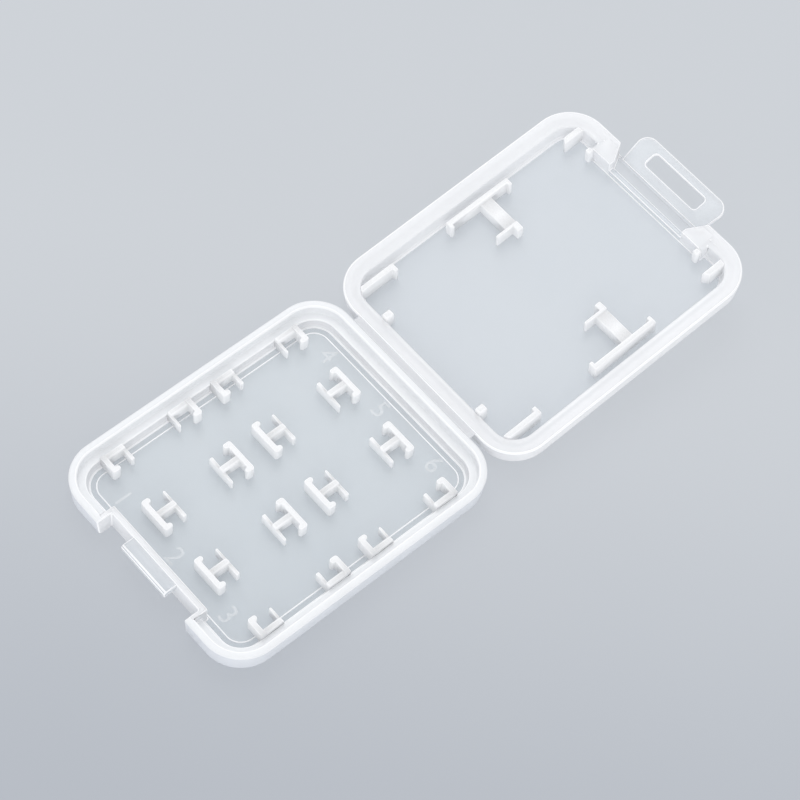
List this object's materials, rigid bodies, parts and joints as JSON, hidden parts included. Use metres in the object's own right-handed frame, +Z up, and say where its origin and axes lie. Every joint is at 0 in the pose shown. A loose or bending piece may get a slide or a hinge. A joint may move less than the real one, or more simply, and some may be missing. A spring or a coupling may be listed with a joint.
{
  "type": "memory card case",
  "caption": "Flat frosted plastic case for memory cards, open at its film hinge, with clips for small cards in the base, clips for large cards in the lid, and a latch flap.",
  "frame": {"origin": "centre of the flat underside of the base", "axes": "+X along the hinge, +Y from the latch side of the base towards the lid, +Z up"},
  "size_m": [0.0576, 0.1486, 0.0123],
  "materials": {
    "base_polypropylene": "frosted natural polypropylene",
    "clip_polypropylene": "frosted natural polypropylene",
    "lid_polypropylene": "frosted natural polypropylene",
    "film_polypropylene": "thin flexed polypropylene film",
    "flap_polypropylene": "frosted natural polypropylene"
  },
  "bodies": {
    "base": {"base_tray": "base_polypropylene", "catch_lug": "base_polypropylene", "h_clip_1": "clip_polypropylene", "h_clip_2": "clip_polypropylene", "h_clip_3": "clip_polypropylene", "h_clip_4": "clip_polypropylene", "h_clip_5": "clip_polypropylene", "h_clip_6": "clip_polypropylene", "h_clip_7": "clip_polypropylene", "h_clip_8": "clip_polypropylene", "side_clip_1": "clip_polypropylene", "side_clip_2": "clip_polypropylene", "side_clip_3": "clip_polypropylene", "side_clip_4": "clip_polypropylene", "side_clip_5": "clip_polypropylene", "side_clip_6": "clip_polypropylene", "side_clip_7": "clip_polypropylene", "side_clip_8": "clip_polypropylene", "hinge_film": "film_polypropylene"},
    "lid": {"lid_shell": "lid_polypropylene", "tee_clip_left": "lid_polypropylene", "tee_clip_right": "lid_polypropylene", "near_fin_left": "lid_polypropylene", "near_fin_right": "lid_polypropylene", "far_fin_left": "lid_polypropylene", "far_fin_right": "lid_polypropylene", "hook_left": "lid_polypropylene", "hook_right": "lid_polypropylene", "nub_left": "lid_polypropylene", "nub_right": "lid_polypropylene", "latch_film": "film_polypropylene"},
    "flap": {"latch_flap": "flap_polypropylene"}
  },
  "joints": [
    {"name": "lid_hinge", "type": "hinge", "parent": "base", "child": "lid", "pos_m": [0, 0.03565, 0.00565], "axis": [1, 0, 0], "range_deg": [-5.5, 174.5], "stiffness_Nm_per_rad": 0.01, "springref_deg": 13.12, "deforming": ["hinge_film"]},
    {"name": "latch_hinge", "type": "hinge", "parent": "lid", "child": "flap", "pos_m": [0, 0.10513, 0.00817], "axis": [1, 0, 0], "range_deg": [-12, 78], "stiffness_Nm_per_rad": 0.00015, "springref_deg": 2.23, "deforming": ["latch_film"]}
  ]
}
